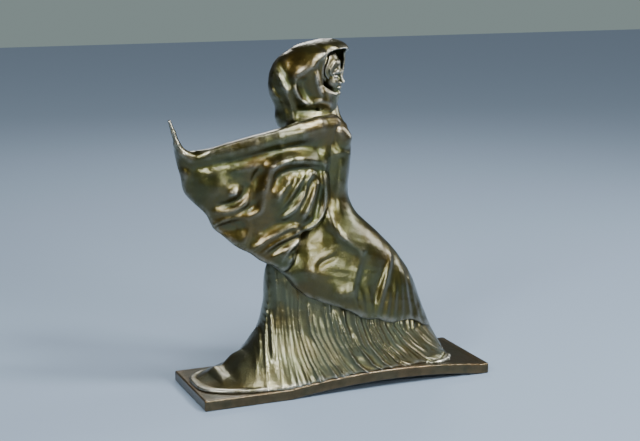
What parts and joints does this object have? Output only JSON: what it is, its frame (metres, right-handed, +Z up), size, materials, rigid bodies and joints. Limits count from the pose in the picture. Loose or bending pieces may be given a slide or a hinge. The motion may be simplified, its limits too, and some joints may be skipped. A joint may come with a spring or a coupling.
{
  "type": "bronze statuette",
  "caption": "Patinated bronze statuette of a striding veiled dancer with a wind-blown cape, on a long thin arched plate.",
  "frame": {"origin": "bottom centre of the whole object's box, on the table", "axes": "+X the way the dancer strides, along the plate; +Y towards her far side, across the plate; +Z up"},
  "size_m": [0.2822, 0.088, 0.3],
  "materials": {
    "figure_bronze": "cast bronze with a glossy brown, olive and gold patina, worn bright on its ridges",
    "plate_bronze": "cast bronze with a brown patina, coppery where its edges are worn",
    "screw_brass": "turned brass, dulled"
  },
  "bodies": {
    "root": {"base_plate": "plate_bronze", "base_screws": "screw_brass", "base_washers": "screw_brass", "skirt_casting": "figure_bronze", "skirt_core_plugs": "figure_bronze", "body_casting": "figure_bronze", "body_core_plugs": "figure_bronze", "waist_pins": "figure_bronze", "cape_casting": "figure_bronze", "cape_pins": "figure_bronze", "head_casting": "figure_bronze", "head_core_plug": "figure_bronze", "neck_pin": "figure_bronze"}
  },
  "joints": []
}
